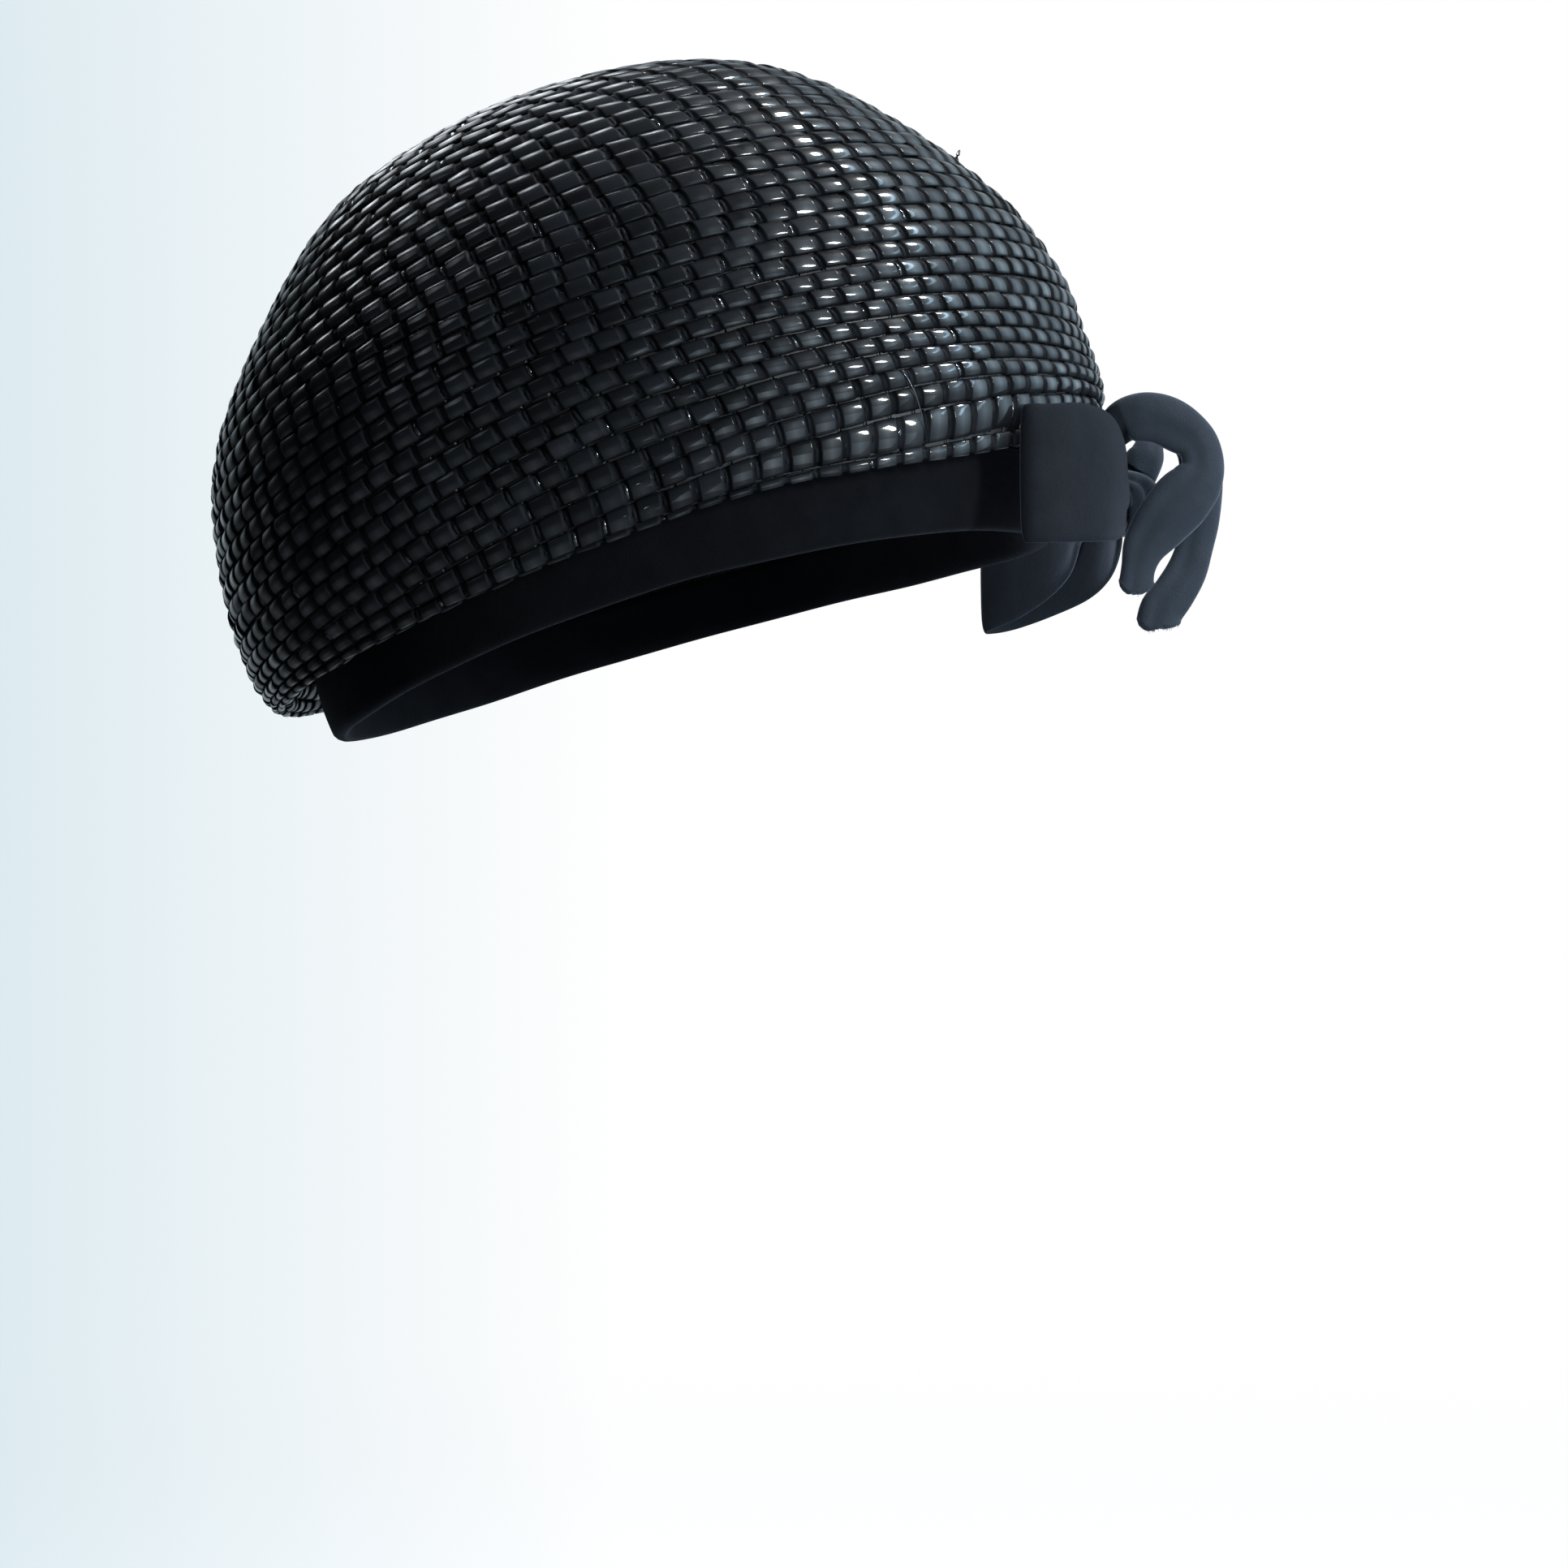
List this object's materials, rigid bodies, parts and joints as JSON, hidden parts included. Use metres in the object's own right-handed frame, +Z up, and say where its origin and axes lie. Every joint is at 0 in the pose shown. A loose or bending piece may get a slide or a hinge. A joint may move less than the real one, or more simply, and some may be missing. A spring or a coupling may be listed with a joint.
{
  "type": "bubble hat",
  "caption": "Bubble hat: a hollow dome of glossy woven straw that rolls over an inset velvet band, with a soft velvet bow standing at the front. Worn on the head.",
  "frame": {"origin": "middle of the head opening, in the slanted plane of the band's lower rim", "axes": "+Z up as worn, -Y towards the front where the bow is, -X towards the wearer's right"},
  "size_m": [0.1954, 0.2622, 0.1749],
  "materials": {
    "straw": "glossy black woven straw strips",
    "velvet": "matte black velvet"
  },
  "bodies": {
    "root": {"crown": "straw", "band": "velvet", "bow_knot": "velvet", "bow_loop_right": "velvet", "bow_loop_left": "velvet", "bow_tail_right": "velvet", "bow_tail_left": "velvet"}
  },
  "joints": []
}
